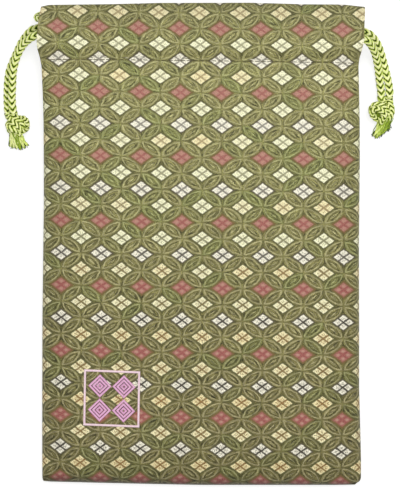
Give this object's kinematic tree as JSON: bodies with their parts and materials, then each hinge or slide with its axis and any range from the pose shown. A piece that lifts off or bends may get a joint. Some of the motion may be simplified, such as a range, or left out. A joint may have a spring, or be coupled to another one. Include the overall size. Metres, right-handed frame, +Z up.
{
  "type": "drawstring bag",
  "caption": "Flat brocade pouch with a lining, a hemmed casing on each side of its mouth, and braided drawcords knotted at both sides.",
  "frame": {"origin": "on the table under the middle of the bag, measured without its free cord ends", "axes": "+Z up through the bag's thickness, out of its front; +Y along the bag towards its mouth; +X across it, towards the right-hand knot"},
  "size_m": [0.1964, 0.2399, 0.0171],
  "materials": {
    "brocade": "woven silk-like jacquard with metallic-looking yarns, soft sheen",
    "lining": "plain satin lining",
    "seam": "pressed seam allowance, raw brocade edge",
    "thread": "polyester sewing thread",
    "embroidery": "glossy rayon satin stitch",
    "cord": "braided rayon cord, soft sheen",
    "tuft": "frayed cord ends, loose yarn"
  },
  "bodies": {
    "bag": {"outer_front": "brocade", "outer_back": "brocade", "front_casing": "brocade", "back_casing": "brocade", "lining_front": "lining", "lining_back": "lining", "left_side_seam": "seam", "right_side_seam": "seam", "bottom_seam": "seam", "left_slit_tack": "thread", "right_slit_tack": "thread", "front_casing_stitching": "thread", "back_casing_stitching": "thread", "emblem_frame": "embroidery", "emblem_diamond_1": "embroidery", "emblem_diamond_2": "embroidery", "emblem_diamond_3": "embroidery", "emblem_diamond_4": "embroidery"},
    "left_cord": {"left_cord_loop": "cord"},
    "left_cord_end": {"left_cord_front_strand": "cord", "left_cord_back_strand": "cord", "left_cord_knot": "cord", "left_cord_inner_tuft": "tuft", "left_cord_outer_tuft": "tuft"},
    "right_cord": {"right_cord_loop": "cord"},
    "right_cord_end": {"right_cord_front_strand": "cord", "right_cord_back_strand": "cord", "right_cord_knot": "cord", "right_cord_inner_tuft": "tuft", "right_cord_outer_tuft": "tuft"}
  },
  "joints": [
    {"name": "left_cord_slide", "type": "slide", "parent": "bag", "child": "left_cord", "axis": [-1, 0, 0], "range_m": [0, 0.008]},
    {"name": "left_cord_swing", "type": "hinge", "parent": "left_cord", "child": "left_cord_end", "pos_m": [-0.079, 0.1085, 0.005], "axis": [0, 0, -1], "range_deg": [-4, 45]},
    {"name": "right_cord_slide", "type": "slide", "parent": "bag", "child": "right_cord", "axis": [1, 0, 0], "range_m": [0, 0.008]},
    {"name": "right_cord_swing", "type": "hinge", "parent": "right_cord", "child": "right_cord_end", "pos_m": [0.079, 0.1067, 0.005], "axis": [0, 0, 1], "range_deg": [-4, 45]}
  ]
}
